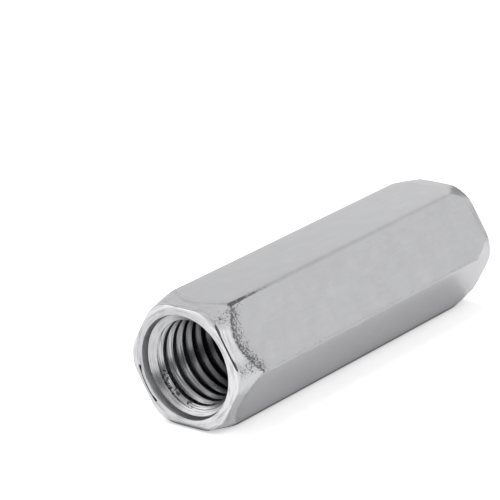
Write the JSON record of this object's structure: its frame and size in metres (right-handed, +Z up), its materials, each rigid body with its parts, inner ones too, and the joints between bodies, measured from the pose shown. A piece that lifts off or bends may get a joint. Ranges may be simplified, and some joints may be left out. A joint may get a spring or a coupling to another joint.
{
  "type": "coupling nut",
  "caption": "Long hexagonal sleeve with a tapped through bore and countersunk, bevelled ends, for joining the ends of threaded rods.",
  "frame": {"origin": "on the ground under the middle of the nut, which lies on one of its flats", "axes": "+X along the bore, +Z up, square to the flat that the nut lies on"},
  "size_m": [0.05, 0.0172, 0.015],
  "materials": {
    "zinc_plate": "bright zinc plate, satin"
  },
  "bodies": {
    "root": {"coupling_nut": "zinc_plate"}
  },
  "joints": []
}
